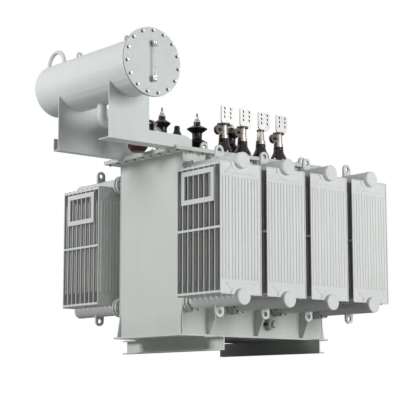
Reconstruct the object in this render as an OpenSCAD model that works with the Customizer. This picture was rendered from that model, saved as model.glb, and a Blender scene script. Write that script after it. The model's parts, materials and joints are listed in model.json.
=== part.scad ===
// Oil-filled power transformer with an end-mounted conservator and bolted-on panel radiators.
// X runs along the tank, -X towards the conservator; Z is up; the origin is on the ground, mid-tank.

/* [Tank] */
// Length of the tank over its end walls
tank_l = 1170; // [1100:5:1300]
// Width of the tank over its long walls
tank_w = 646; // [600:2:700]
// Height of the walls between base plate and cover
wall_h = 1128; // [1080:4:1200]
// Thickness of the tank walls
wall_t = 6; // [4:1:10]
// Thickness of the bolted rim round the top of the walls
rim_t = 12; // [8:1:20]
// Reach of the rim beyond the end walls
rim_end = 96; // [70:1:110]
// Reach of the rim beyond the long walls
rim_side = 60; // [50:1:75]
// Thickness of the cover
cover_t = 12; // [8:1:20]
// Thickness of the base plate
base_t = 12; // [8:1:20]
// Reach of the base plate beyond the walls
base_lip = 28; // [16:1:45]

/* [Wall ribs] */
// Number of ribs on each long wall
rib_count = 3; // [1:1:5]
// Spacing of the ribs
rib_pitch = 388; // [370:1:400]
// Reach of a rib from the wall
rib_reach = 78; // [60:1:80]
// Thickness of a rib
rib_t = 10; // [6:1:16]
// Height over which a rib's ends slant back towards the wall
rib_slant = 95; // [60:5:160]
// Height of the corner foot gussets on the end walls
gusset_h = 160; // [60:5:200]
// Thickness of a foot gusset
gusset_t = 8; // [5:1:12]

/* [Skids] */
// Distance between the backs of the two skid channels
skid_gauge = 790; // [700:5:900]
// Length of a skid
skid_l = 986; // [860:2:1100]
// Height of a skid channel
skid_h = 88; // [80:1:120]
// Flange width of a skid channel
skid_flange = 44; // [40:1:65]
// Thickness of the channel's web and flanges
skid_t = 8; // [6:1:12]
// Diameter of the foundation bolt holes
anchor_d = 18; // [12:1:22]
// Distance of a foundation bolt hole from the skid's end
anchor_inset = 38; // [30:1:60]

/* [Radiators] */
// Number of radiators on each side
rad_count = 4; // [1:1:4]
// Spacing of the radiators along the tank
rad_pitch = 360; // [355:1:380]
// Height of the lower header above the ground
header_z = 294.5; // [270:0.5:320]
// Distance between header centres
header_centres = 800; // [760:5:820]
// Outer diameter of a header
header_d = 98; // [90:1:110]
// Reach of a header's closed end beyond the outer panel
header_nose = 32; // [15:1:50]
// Softening of a header's closed end
nose_soft = 4; // [2:0.5:8]
// Number of panels in a radiator
panel_count = 9; // [4:1:9]
// Spacing of the panels
panel_pitch = 50; // [44:1:54]
// Width of a panel
panel_w = 310; // [300:1:330]
// Distance of a panel's end from the header centre
panel_inset = 15; // [5:1:25]
// Thickness of the seam edge of a panel
sheet_t = 3; // [2:0.5:5]
// Distance from the wall to the middle of the first panel
panel_gap = 89.5; // [85:0.5:100]

/* [Panel pressing] */
// Number of flute groups across a panel
group_count = 4; // [2:1:4]
// Spacing of the flute groups
group_pitch = 74; // [70:0.5:76]
// Flutes in one group
flute_count = 3; // [1:1:3]
// Spacing of the flutes in a group
flute_pitch = 23.2; // [21:0.1:24]
// Width of a flute
flute_w = 21; // [16:0.1:21]
// Height of a flute above the middle of the sheet
flute_h = 6.5; // [4:0.5:9]
// Distance of the flutes' ends from the panel's ends
flute_end = 74; // [64:1:110]
// Length over which a flute's end runs out
flute_run = 26; // [15:1:40]
// Diameter of the pressed collar round a header
collar_d = 156; // [140:1:170]
// Height of the pressed collar above the middle of the sheet
collar_h = 6; // [3:0.5:8]
// Width of the feed channel towards the flutes
feed_w = 286; // [240:1:300]
// Width of the feed channel at the panel's end
feed_neck = 120; // [90:1:150]
// Height of the feed channel above the middle of the sheet
feed_h = 4.5; // [3:0.5:6]
// Width of the feed channel's sloping edges
feed_run = 12; // [6:1:20]

/* [Radiator ties and lugs] */
// Thickness of the tie bars on a panel's edges
tie_t = 5; // [3:1:8]
// Height of a tie bar
tie_h = 14; // [8:1:20]
// Distance of the end tie bars from the panel's ends
tie_inset = 10; // [8:1:30]
// Width of a lifting lug
lug_w = 62; // [50:1:70]
// Thickness of a lifting lug
lug_t = 14; // [8:1:20]
// Diameter of a lifting lug's hole
lug_hole = 30; // [16:1:34]
// Height of an upper lug's hole above the header centre
lug_rise = 92; // [88:1:120]
// Depth of a lower lug's hole below the header centre
lug_drop = 77; // [72:1:100]
// Length of the open frame on a radiator's side
frame_l = 304; // [220:2:330]
// Height of the open frame
frame_h = 202; // [140:2:240]
// Width of the frame's flat bar
frame_bar = 30; // [20:1:40]
// Thickness of the frame
frame_t = 5; // [3:1:8]
// Distance of the frame from the first panel
frame_start = 48; // [20:1:60]
// Distance of the frame below the panels' tops
frame_drop = 29; // [26:1:36]

/* [Radiator valves] */
// Outer diameter of a pipe stub on the wall
stub_d = 76; // [60:1:89]
// Diameter of a valve flange
flange_d = 126; // [112:1:140]
// Reach of a header in front of the first panel
header_lead = 23.5; // [20:0.5:26]
// Thickness of a valve flange
flange_t = 12; // [8:1:16]
// Diameter of the valve body between the flanges
valve_d = 102; // [90:1:110]
// Length of the valve body
valve_l = 20; // [12:1:26]

/* [Conservator] */
// Outer radius of the conservator
cons_r = 168; // [150:1:180]
// Length of the shell from the middle of the brackets to its flange
cons_near = 486; // [440:2:520]
// Length of the shell from the middle of the brackets to its far end
cons_far = 512; // [470:2:550]
// Wall of the shell and of its far end
cons_t = 4; // [3:0.5:8]
// Radius of the bolted flange
cons_flange_r = 206; // [195:1:220]
// Thickness of the flange and of its cover
cons_flange_t = 10; // [6:1:16]
// Height of the axis above the tank cover
cons_rise = 418; // [395:1:450]
// Distance of the axis from the middle of the tank
cons_x = 1026; // [1000:1:1080]
// Offset of the brackets' middle towards the near side
cons_shift = 100; // [80:1:115]

/* [Conservator brackets] */
// Distance between the two bracket webs
bracket_span = 537; // [480:1:580]
// Width of a bracket's upright
upright_w = 296; // [260:2:310]
// Height of an upright above the tank cover
upright_h = 325; // [300:1:340]
// Height of a bracket's arm above the cover
arm_h = 66; // [56:1:80]
// Depth of a bracket's outer part below the cover's top
bracket_drop = 14; // [8:1:22]
// Clearance between a bracket's outer part and the rim
bracket_gap = 2; // [1:0.5:5]
// Width of the near bracket's folded bottom
near_fold = 104; // [90:1:115]
// Width of the far bracket's folded bottom
far_fold = 56; // [48:1:66]
// Thickness of the folded plate
bracket_t = 6; // [4:0.5:10]
// Reach of an arm over the cover
arm_reach = 133; // [90:1:160]
// Width of the far bracket's brace beside the top of its upright
brace_top = 50; // [30:1:60]
// Width of the far bracket's brace along its arm
brace_foot = 270; // [240:1:280]
// Length of the chamfer at an arm's end
arm_chamfer = 44; // [20:1:60]
// Clearance between saddle and shell
saddle_gap = 0.3; // [0.1:0.1:0.6]

/* [Conservator fittings] */
// Distance between the level gauge's fittings
gauge_l = 220; // [180:1:270]
// Diameter of the level gauge's tube
gauge_d = 18; // [14:1:24]
// Diameter of the gauge's fittings
gauge_fitting_d = 28; // [26:1:36]
// Reach of the gauge's axis from the cover
gauge_reach = 24; // [20:1:34]
// Outer diameter of the breather pipe
breather_d = 26; // [18:1:32]
// Width of the breather pipe's arch between its legs
breather_w = 174; // [150:2:200]
// Rise of the arch's axis above the shell
breather_rise = 95; // [90:1:110]
// Distance of the breather pipe's foot from the shell's far end
breather_inset = 69; // [50:1:90]
// Reach of the breather pipe's outer leg below the conservator's axis
breather_drop = 40; // [0:5:120]
// Width of a lifting lug on the conservator
eye_w = 44; // [34:1:60]
// Thickness of a lifting lug on the conservator
eye_t = 10; // [6:1:14]
// Height of the lug's hole above the shell
eye_rise = 22; // [20:1:34]
// Diameter of the lug's hole
eye_hole = 18; // [10:1:22]
// Distance between the two lugs
eye_span = 510; // [400:2:560]

/* [Oil pipe] */
// Outer diameter of the oil pipe
pipe_d = 60; // [48:1:64]
// Distance of the pipe from the tank's middle, towards the near side
pipe_off = 85; // [70:1:110]
// Height of the pipe's level run above the cover
pipe_rise = 140; // [132:1:148]
// Bend radius under the conservator
bend_r = 45; // [40:1:56]
// Bend radius above the cover
drop_r = 62; // [50:1:66]
// Diameter of a pipe flange
pipe_flange_d = 124; // [110:1:136]
// Thickness of a pipe flange
pipe_flange_t = 12; // [8:1:16]
// Distance from the middle of the tank to the pipe's foot
pipe_foot = 575; // [560:1:582]
// Length of the relay over its flanges
relay_l = 180; // [150:2:190]
// Length of the level pipe between the relay and the elbow
elbow_l = 25; // [22:1:36]
// Diameter of the relay's cast body
relay_d = 124; // [100:2:130]
// Depth of the relay's body below the pipe's axis
relay_drop = 152; // [120:1:156]
// Diameter of the relay's bottom
relay_foot_d = 80; // [60:2:96]
// Height over which the relay's body narrows to its bottom
relay_taper = 28; // [16:1:40]
// Height of the relay's body above the pipe's axis
relay_top = 50; // [46:1:66]
// Height of the relay's test cock
cock_h = 30; // [24:1:44]
// Diameter of the test cock
cock_d = 14; // [10:1:20]
// Thickness of the relay's lid
lid_t = 12; // [8:1:16]
// Reach of the lid beyond the relay's body
lid_lip = 8; // [4:1:12]

/* [High-voltage bushings] */
// Spacing of the high-voltage bushings
hv_pitch = 300; // [270:5:340]
// Distance of the row from the tank's middle
hv_y = 250; // [230:1:262]
// Offset of the row's middle along the tank
hv_shift = 8; // [0:1:20]
// Number of sheds
hv_sheds = 3; // [1:1:3]
// Diameter of the sheds
hv_shed_d = 140; // [120:2:160]
// Diameter of the sheds on the bushing next to the conservator
hv_left_shed_d = 116; // [104:2:130]
// Diameter of the porcelain body
hv_body_d = 68; // [60:1:80]
// Diameter of the porcelain neck above the sheds
hv_neck_d = 47; // [40:1:54]
// Diameter of the porcelain foot
hv_foot_d = 116; // [100:1:130]
// Height of the porcelain foot
hv_foot_h = 36; // [28:1:44]
// Height of the porcelain
hv_h = 326; // [316:1:340]
// Height of the upper shed's rim above the cover
hv_shed_top = 280; // [274:1:286]
// Spacing of the sheds
hv_shed_pitch = 96; // [90:1:100]
// Rise of a shed's upper face from its rim to the body
hv_shed_rise = 27; // [20:1:32]
// Fall of a shed's lower face from its rim to the body
hv_shed_under = 28; // [20:1:30]
// Thickness of a shed's rim
hv_shed_lip = 5; // [3:0.5:8]
// Height of the metal cap
hv_cap_h = 20; // [14:1:26]
// Diameter of the cap's top
hv_cap_top_d = 30; // [26:1:36]
// Diameter of the nut on the cap
hv_nut_d = 26; // [22:1:30]
// Height of the nut
hv_nut_h = 17; // [12:1:22]
// Diameter of the terminal stud
hv_stud_d = 12; // [10:1:16]
// Length of the terminal stud
hv_stud_l = 26; // [20:1:40]

/* [Low-voltage bushings] */
// Spacing of the low-voltage bushings
lv_pitch = 159; // [154:1:175]
// Distance of the row from the tank's middle
lv_y = 200; // [180:1:230]
// Offset of the row's middle along the tank
lv_shift = 87; // [60:1:110]
// Diameter of the porcelain neck
lv_neck_d = 66; // [60:1:74]
// Diameter of the porcelain foot
lv_foot_d = 112; // [100:1:124]
// Height of the porcelain
lv_h = 128; // [116:1:140]
// Height of the foot's straight rim
lv_foot_h = 52; // [40:1:60]
// Height of the flare between rim and neck
lv_flare_h = 42; // [30:1:50]
// Diameter of the collar on the porcelain
lv_collar_d = 62; // [58:1:66]
// Height of the collar
lv_collar_h = 22; // [10:1:26]
// Diameter of the terminal clamp
clamp_d = 52; // [46:1:60]
// Height of the terminal clamp under its seat
clamp_h = 64; // [54:1:76]
// Diameter of the round seat under a palm
seat_d = 100; // [90:1:112]
// Thickness of the seat
seat_t = 12; // [8:1:16]
// Top diameter of the neutral's plain cone
neutral_top_d = 40; // [34:1:46]
// Reach of the clamp's bolted ear beyond the clamp
ear_reach = 32; // [20:1:40]
// Thickness of the clamp's ear
ear_t = 26; // [14:1:34]
// Diameter of the ear's round end
ear_d = 62; // [50:1:64]
// Width of a terminal palm
palm_w = 97; // [90:1:110]
// Height of a terminal palm
palm_h = 120; // [110:1:140]
// Thickness of a terminal palm
palm_t = 11; // [8:1:16]
// Chamfer of a palm's lower corners
palm_chamfer = 18; // [8:1:20]
// Offset of a palm from the bushing's axis
palm_shift = 28; // [10:1:30]
// Spacing of the palm's holes across
palm_hole_x = 50; // [40:1:60]
// Spacing of the palm's holes in height
palm_hole_z = 28; // [24:1:32]
// Diameter of the palm's holes
palm_hole_d = 18; // [12:0.5:20]
// Distance of the upper holes from a palm's top
palm_hole_top = 18; // [14:1:24]

/* [Cover fittings] */
// Height of the tap changer above the cover
tap_h = 228; // [200:2:260]
// Diameter of the tap changer's domed head
tap_head_d = 38; // [32:1:44]
// Height of the head over its flared skirt
tap_head_h = 34; // [26:1:42]
// Diameter of the skirt
tap_skirt_d = 64; // [54:1:72]
// Height of the skirt's flare
tap_flare_h = 26; // [18:1:34]
// Diameter of the tap changer's column
tap_column_d = 46; // [38:1:50]
// Diameter of the tap changer's foot
tap_foot_d = 84; // [70:1:96]
// Height of the foot
tap_foot_h = 14; // [10:1:20]
// Distance of the tap changer from the tank's middle
tap_x = 338; // [310:1:360]
// Distance of the tap changer from the centre line
tap_y = 50; // [40:1:60]
// Width of a lifting eye on the cover
cover_eye_w = 56; // [46:1:70]
// Thickness of a lifting eye on the cover
cover_eye_t = 14; // [10:1:20]
// Height of the eye's hole above the cover
cover_eye_rise = 26; // [24:1:40]
// Diameter of the eye's hole
cover_eye_hole = 24; // [16:1:28]
// Distance between the eyes along the tank
cover_eye_span = 836; // [760:2:900]
// Distance of an eye from the edge of the cover
cover_eye_inset = 58; // [40:1:64]

/* [Drain valve] */
// Distance of the drain valve from the tank's middle
drain_x = 111; // [60:1:114]
// Height of the drain valve above the ground
drain_z = 178; // [160:1:185]
// Outer diameter of the drain valve's stub
drain_d = 34; // [26:1:42]
// Diameter of the drain valve's flange
drain_flange_d = 72; // [60:1:80]
// Reach of the drain valve from the wall
drain_l = 78; // [70:1:90]
// Thickness of the drain valve's flange
drain_flange_t = 20; // [14:1:24]
// Diameter of the drain valve's blank end
drain_boss_d = 48; // [40:1:56]

/* [Hidden] */
$fn = 64;
cut = 1;

base_z = skid_h;
tank_z = base_z + base_t;
cover_z = tank_z + wall_h;
top_z = cover_z + cover_t;
rim_z = cover_z - rim_t;

wall_y = tank_w / 2;
end_x = tank_l / 2;
rim_x = end_x + rim_end;
rim_y = wall_y + rim_side;

stub_l = panel_gap - header_lead - 2 * flange_t - valve_l;
header_y = wall_y + panel_gap - header_lead;
panel_y = wall_y + panel_gap;
stack_l = (panel_count - 1) * panel_pitch;
nose_y = panel_y + stack_l + header_nose;
upper_z = header_z + header_centres;
panel_z = header_z + panel_inset;
panel_h = header_centres - 2 * panel_inset;
lug_y = (header_y + nose_y) / 2;
frame_z = panel_z + panel_h - frame_drop - frame_h;

cons_z = top_z + cons_rise;
cons_l = cons_near + cons_far;
shell_y = -cons_shift - cons_near;
shell_mid_y = shell_y + cons_l / 2;
bracket_ys = [-cons_shift - bracket_span / 2, -cons_shift + bracket_span / 2];
arm_end = -rim_x + arm_reach;
upright_x = -cons_x - upright_w / 2;

pipe_z = top_z + pipe_rise;
pipe_y = -pipe_off;
relay_x = pipe_foot + drop_r + elbow_l + relay_l / 2;
relay_out = -relay_x + relay_l / 2;
relay_in = -relay_x - relay_l / 2;

lv_xs = [for (i = [-1.5 : 1.5]) lv_shift + i * lv_pitch];
hv_xs = [for (i = [-1 : 1]) i * hv_pitch - hv_shift];
clamp_z = top_z + lv_h + lv_collar_h;
seat_z = clamp_z + clamp_h;
palm_z = seat_z + seat_t;
neutral = 2;

paint = [0.78, 0.80, 0.78];
pale = [0.84, 0.85, 0.84];
porcelain = [0.12, 0.08, 0.06];
bare_metal = [0.80, 0.80, 0.78];
relay_red = [0.30, 0.18, 0.16];
black = [0.08, 0.08, 0.08];

// Extrudes a (Y, Z) outline along X
module along_x(length) {
    rotate([90, 0, 90]) linear_extrude(length) children();
}

// Extrudes an (X, Z) outline along Y, from y = 0 towards +Y
module along_y(length) {
    translate([0, length, 0]) rotate([90, 0, 0]) linear_extrude(length) children();
}

// Cylinder along +Y, starting at y = 0
module rod_y(d, length) {
    rotate([-90, 0, 0]) cylinder(d = d, h = length);
}

// Cylinder along +X, starting at x = 0
module rod_x(d, length) {
    rotate([0, 90, 0]) cylinder(d = d, h = length);
}

// Round-ended lug outline with its hole; the hole is at the origin, the foot below it
module lug_outline(width, hole, foot) {
    difference() {
        union() {
            intersection() {
                circle(d = width);
                translate([-width / 2, 0]) square([width, width / 2]);
            }
            translate([-width / 2, -foot]) square([width, foot]);
        }
        circle(d = hole);
    }
}

// Skid channel on the +X side, its back towards the middle, its flanges outwards
module skid() {
    color(paint) difference() {
        translate([skid_gauge / 2, skid_l / 2, 0]) rotate([90, 0, 0]) linear_extrude(skid_l) difference() {
            square([skid_flange, skid_h]);
            translate([skid_t, skid_t]) square([skid_flange, skid_h - 2 * skid_t]);
        }
        for (s = [-1, 1])
            translate([skid_gauge / 2 + (skid_t + skid_flange) / 2, s * (skid_l / 2 - anchor_inset), -cut])
                cylinder(d = anchor_d, h = skid_t + 2 * cut);
    }
}

module skid_right() {
    skid();
}

module skid_left() {
    mirror([1, 0, 0]) skid();
}

module base_plate() {
    color(paint) translate([-end_x - base_lip, -wall_y - base_lip, base_z])
        cube([tank_l + 2 * base_lip, tank_w + 2 * base_lip, base_t]);
}

// Long wall at +Y with its strip of the bolted rim, which takes in the corners
module long_wall() {
    color(paint) {
        translate([-end_x, wall_y - wall_t, tank_z]) cube([tank_l, wall_t, wall_h]);
        translate([-rim_x, wall_y, rim_z]) cube([2 * rim_x, rim_side, rim_t]);
    }
}

module far_wall() {
    long_wall();
}

module near_wall() {
    mirror([0, 1, 0]) long_wall();
}

// End wall at +X between the long walls, with its strip of the rim and its two foot gussets
module end_wall() {
    color(paint) {
        translate([end_x - wall_t, -wall_y + wall_t, tank_z]) cube([wall_t, tank_w - 2 * wall_t, wall_h]);
        translate([end_x - wall_t, -wall_y + wall_t, rim_z]) cube([wall_t, tank_w - 2 * wall_t, rim_t]);
        translate([end_x, -wall_y, rim_z]) cube([rim_end, tank_w, rim_t]);
        for (y = [-wall_y + wall_t, wall_y - wall_t - gusset_t])
            translate([end_x, y, tank_z]) along_y(gusset_t)
                polygon([[0, 0], [base_lip, 0], [0, gusset_h]]);
    }
}

module right_wall() {
    end_wall();
}

module left_wall() {
    mirror([1, 0, 0]) end_wall();
}

// Ribs on the +Y wall, each a flat bar with slanted ends
module ribs() {
    rib_l = rim_z - tank_z;
    color(paint) for (i = [0 : rib_count - 1])
        translate([(i - (rib_count - 1) / 2) * rib_pitch - rib_t / 2, wall_y, tank_z]) along_x(rib_t)
            polygon([
                [0, 0], [base_lip, 0], [rib_reach, rib_slant],
                [rib_reach, rib_l - rib_slant], [base_lip, rib_l], [0, rib_l]
            ]);
}

module far_ribs() {
    ribs();
}

module near_ribs() {
    mirror([0, 1, 0]) ribs();
}

module tank_cover() {
    color(pale) translate([-rim_x, -rim_y, cover_z]) cube([2 * rim_x, 2 * rim_y, cover_t]);
}

// Cross-section of one flute: a lens pressed out to both sides of the sheet
module flute_lens() {
    r = (pow(flute_w / 2, 2) + pow(flute_h, 2)) / (2 * flute_h);
    intersection() {
        translate([0, r - flute_h]) circle(r);
        translate([0, flute_h - r]) circle(r);
    }
}

// Cross-sections of all the flutes of a panel, in groups
module flute_row() {
    for (g = [0 : group_count - 1], f = [0 : flute_count - 1]) {
        group_x = (g - (group_count - 1) / 2) * group_pitch;
        translate([group_x + (f - (flute_count - 1) / 2) * flute_pitch, 0]) flute_lens();
    }
}

// One pressed panel standing on z = 0, its sheet in the plane y = 0
module panel() {
    run_h = flute_h + cut;
    translate([-panel_w / 2, -sheet_t / 2, 0]) cube([panel_w, sheet_t, panel_h]);
    intersection() {
        translate([0, 0, flute_end]) linear_extrude(panel_h - 2 * flute_end) flute_row();
        translate([-panel_w / 2, 0, 0]) along_x(panel_w) polygon([
            [0, flute_end], [run_h, flute_end + flute_run],
            [run_h, panel_h - flute_end - flute_run], [0, panel_h - flute_end],
            [-run_h, panel_h - flute_end - flute_run], [-run_h, flute_end + flute_run]
        ]);
    }
    intersection() {
        for (z = [-panel_inset, panel_h + panel_inset])
            translate([0, -collar_h, z]) rod_y(collar_d, 2 * collar_h);
        translate([-panel_w / 2, -collar_h - cut, 0]) cube([panel_w, 2 * (collar_h + cut), panel_h]);
    }
    feed_channel();
    translate([0, 0, panel_h]) mirror([0, 0, 1]) feed_channel();
}

// Slab in the panel's plane whose wedge-shaped edge runs along z, its bulk towards +X
module wedge_slab() {
    linear_extrude(2 * panel_w, center = true) polygon([
        [0, 0], [feed_run, feed_h], [panel_w, feed_h], [panel_w, -feed_h], [feed_run, -feed_h]
    ]);
}

// Raised channel that spreads from the header to the flutes, at the panel's lower end
module feed_channel() {
    slant = atan2(flute_end, (feed_w - feed_neck) / 2);
    intersection() {
        translate([-panel_w / 2, 0, 0]) along_x(panel_w) polygon([
            [0, flute_end], [feed_h, flute_end - feed_run], [feed_h, 0],
            [-feed_h, 0], [-feed_h, flute_end - feed_run]
        ]);
        translate([feed_neck / 2, 0, 0]) rotate([0, -90 - slant, 0]) wedge_slab();
        translate([-feed_neck / 2, 0, 0]) rotate([0, slant - 90, 0]) wedge_slab();
    }
}

// Closed header pipe along +Y with a softened end
module header() {
    header_l = nose_y - header_y;
    rotate([-90, 0, 0]) rotate_extrude() polygon([
        [0, 0], [header_d / 2, 0], [header_d / 2, header_l - nose_soft],
        [header_d / 2 - nose_soft, header_l], [0, header_l]
    ]);
}

// Welded radiator on the +Y side: panels plugged into two headers, tied along their edges
module radiator(index) {
    x = (index - (rad_count + 1) / 2) * rad_pitch;
    tie_zs = [tie_inset, panel_h / 2, panel_h - tie_inset];
    color(pale) translate([x, 0, 0]) {
        for (i = [0 : panel_count - 1])
            translate([0, panel_y + i * panel_pitch, panel_z]) panel();
        for (z = [header_z, upper_z])
            translate([0, header_y, z]) header();
        for (s = [-1, 1], z = tie_zs)
            translate([s * (panel_w + tie_t) / 2 - tie_t / 2, panel_y - sheet_t / 2, panel_z + z - tie_h / 2])
                cube([tie_t, stack_l + sheet_t, tie_h]);
        translate([0, lug_y - lug_t / 2, upper_z + lug_rise]) along_y(lug_t)
            lug_outline(lug_w, lug_hole, lug_rise);
        translate([0, lug_y - lug_t / 2, header_z - lug_drop]) along_y(lug_t) mirror([0, 1])
            lug_outline(lug_w, lug_hole, lug_drop);
    }
}

module radiator_near(index) {
    mirror([0, 1, 0]) radiator(index);
}

// Stub, flanges and shut-off valve between the +Y wall and each header
module valves() {
    length = stub_l + 2 * flange_t + valve_l;
    color(paint) for (i = [1 : rad_count], z = [header_z, upper_z])
        translate([(i - (rad_count + 1) / 2) * rad_pitch, wall_y, z]) rotate([-90, 0, 0]) rotate_extrude()
            polygon([
                [0, 0], [stub_d / 2, 0], [stub_d / 2, stub_l], [flange_d / 2, stub_l],
                [flange_d / 2, stub_l + flange_t], [valve_d / 2, stub_l + flange_t],
                [valve_d / 2, length - flange_t], [flange_d / 2, length - flange_t],
                [flange_d / 2, length], [0, length]
            ]);
}

module far_valves() {
    valves();
}

module near_valves() {
    mirror([0, 1, 0]) valves();
}

// Bars of the open frame on the left-hand radiator of each side; the deeper posts seat on the panels' edges
module frame_bars(places, depth, size) {
    x = (1 - rad_count) / 2 * rad_pitch - panel_w / 2 - tie_t - frame_t;
    color(pale) for (side = [0, 1], at = places) mirror([0, side, 0])
        translate([x, panel_y + frame_start + at[0], frame_z + at[1]]) cube([depth, size[0], size[1]]);
}

module frame_rails() {
    frame_bars([[0, 0], [0, frame_h - frame_bar]], frame_t, [frame_l, frame_bar]);
}

module frame_posts() {
    places = [[0, frame_bar], [frame_l - frame_bar, frame_bar]];
    frame_bars(places, frame_t + tie_t, [frame_bar, frame_h - 2 * frame_bar]);
}

// Side outline of a bracket: its outer part hangs beside the rim, its arm lies on the cover, and a brace
// may slope from the upright to the arm
module bracket_outline(upright, brace) {
    edge_x = upright_x + upright_w;
    step_x = -rim_x - bracket_gap;
    low_z = top_z - bracket_drop;
    polygon([
        [upright_x, low_z], [step_x, low_z], [step_x, top_z], [arm_end, top_z],
        [arm_end, top_z + arm_h - arm_chamfer / 2], [arm_end - arm_chamfer, top_z + arm_h],
        [edge_x + brace[1], top_z + arm_h], [edge_x + brace[0], top_z + upright],
        [upright_x, top_z + upright]
    ]);
}

// Folded bracket: a web with a saddle for the shell and a bottom fold, which may end in an upturned lip
module bracket(y, fold, brace, lip) {
    step_x = -rim_x - bracket_gap;
    color(pale) translate([0, y, 0]) {
        difference() {
            along_y(bracket_t) bracket_outline(upright_h, brace);
            translate([-cons_x, -cut, cons_z]) rod_y(2 * (cons_r + saddle_gap), bracket_t + 2 * cut);
        }
        translate([upright_x, 0, top_z - bracket_drop]) cube([step_x - upright_x, fold, bracket_t]);
        translate([step_x, 0, top_z]) cube([arm_end - step_x, fold, bracket_t]);
        if (lip) translate([0, fold - bracket_t, 0]) along_y(bracket_t) bracket_outline(arm_h, [0, 0]);
    }
}

module near_bracket() {
    bracket(bracket_ys[0], near_fold, [0, 0], false);
}

module far_bracket() {
    bracket(bracket_ys[1], far_fold, [brace_top, brace_foot], true);
}

// Rolled shell with the ring that its cover is bolted to
module conservator_shell() {
    color(pale) translate([-cons_x, shell_y, cons_z]) difference() {
        union() {
            rod_y(2 * cons_r, cons_l);
            rod_y(2 * cons_flange_r, cons_flange_t);
        }
        translate([0, -cut, 0]) rod_y(2 * (cons_r - cons_t), cons_l + 2 * cut);
    }
}

module conservator_cover() {
    color(pale) translate([-cons_x, shell_y - cons_flange_t, cons_z]) rod_y(2 * cons_flange_r, cons_flange_t);
}

module conservator_end() {
    color(pale) translate([-cons_x, shell_y + cons_l, cons_z]) rod_y(2 * cons_r, cons_t);
}

// Level gauge: an upright tube between two fittings on the cover
module oil_gauge() {
    face_y = shell_y - cons_flange_t;
    color(bare_metal) translate([-cons_x, face_y - gauge_reach, cons_z]) {
        translate([0, 0, -gauge_l / 2]) cylinder(d = gauge_d, h = gauge_l);
        for (s = [-1, 1]) translate([0, 0, s * gauge_l / 2]) {
            translate([0, 0, -gauge_fitting_d / 2]) cylinder(d = gauge_fitting_d, h = gauge_fitting_d);
            rod_y(gauge_d, gauge_reach);
        }
    }
}

// Arched breather pipe from the top of the shell over its far end
module breather_pipe() {
    foot_y = shell_y + cons_l - breather_inset;
    arch_r = breather_w / 2;
    arch_z = cons_z + cons_r + breather_rise - arch_r;
    color(pale) translate([-cons_x, foot_y, 0]) {
        difference() {
            translate([0, 0, cons_z]) cylinder(d = breather_d, h = arch_z - cons_z);
            translate([0, -breather_d, cons_z]) rod_y(2 * cons_r, 2 * breather_d);
        }
        translate([0, arch_r, arch_z]) rotate([90, 0, 90]) rotate_extrude(angle = 180)
            translate([arch_r, 0]) circle(d = breather_d);
        translate([0, breather_w, cons_z - breather_drop])
            cylinder(d = breather_d, h = arch_z - cons_z + breather_drop);
    }
}

// Two lifting eyes along the top of the shell, their feet shaped to it
module conservator_eyes() {
    color(pale) for (s = [-1, 1]) translate([-cons_x, shell_mid_y + s * eye_span / 2, cons_z]) difference() {
        translate([0, 0, cons_r + eye_rise]) translate([0, -eye_t / 2, 0]) along_y(eye_t)
            lug_outline(eye_w, eye_hole, 2 * eye_rise);
        translate([0, -eye_t, 0]) rod_y(2 * cons_r, 2 * eye_t);
    }
}

// Pipe from the bottom of the shell, bent level towards the relay
module oil_pipe() {
    bend_top = pipe_z + bend_r;
    level_x = -cons_x + bend_r;
    color(paint) translate([0, pipe_y, 0]) {
        difference() {
            translate([-cons_x, 0, bend_top]) cylinder(d = pipe_d, h = cons_z - bend_top);
            translate([-cons_x, -pipe_d, cons_z]) rod_y(2 * cons_r, 2 * pipe_d);
        }
        translate([level_x, 0, bend_top]) rotate([90, 0, 0]) rotate([0, 0, 180]) rotate_extrude(angle = 90)
            translate([bend_r, 0]) circle(d = pipe_d);
        translate([level_x, 0, pipe_z]) rod_x(pipe_d, relay_in - level_x);
        translate([relay_in - pipe_flange_t, 0, pipe_z]) rod_x(pipe_flange_d, pipe_flange_t);
    }
}

// Gas relay: a cast pot between two flanges, with a lid and a test cock
module gas_relay() {
    color(relay_red) translate([-relay_x, pipe_y, pipe_z]) {
        rotate_extrude() polygon([
            [0, -relay_drop], [relay_foot_d / 2, -relay_drop], [relay_d / 2, relay_taper - relay_drop],
            [relay_d / 2, relay_top], [0, relay_top]
        ]);
        translate([0, 0, relay_top]) cylinder(d = relay_d + 2 * lid_lip, h = lid_t);
        translate([relay_d / 4, -relay_d / 4, relay_top + lid_t]) cylinder(d = cock_d, h = cock_h);
        translate([-relay_l / 2, 0, 0]) rod_x(pipe_d, relay_l);
        for (x = [-relay_l / 2, relay_l / 2 - pipe_flange_t])
            translate([x, 0, 0]) rod_x(pipe_flange_d, pipe_flange_t);
    }
}

// Pipe from the relay, bent down to its flanged foot on the cover
module relay_elbow() {
    level_l = -pipe_foot - drop_r - relay_out;
    color(paint) translate([0, pipe_y, 0]) {
        translate([relay_out, 0, pipe_z]) rod_x(pipe_d, level_l);
        translate([relay_out, 0, pipe_z]) rod_x(pipe_flange_d, pipe_flange_t);
        translate([-pipe_foot - drop_r, 0, pipe_z - drop_r]) rotate([90, 0, 0]) rotate_extrude(angle = 90)
            translate([drop_r, 0]) circle(d = pipe_d);
        translate([-pipe_foot, 0, top_z]) cylinder(d = pipe_d, h = pipe_rise - drop_r);
        translate([-pipe_foot, 0, top_z]) cylinder(d = pipe_flange_d, h = pipe_flange_t);
    }
}

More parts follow.
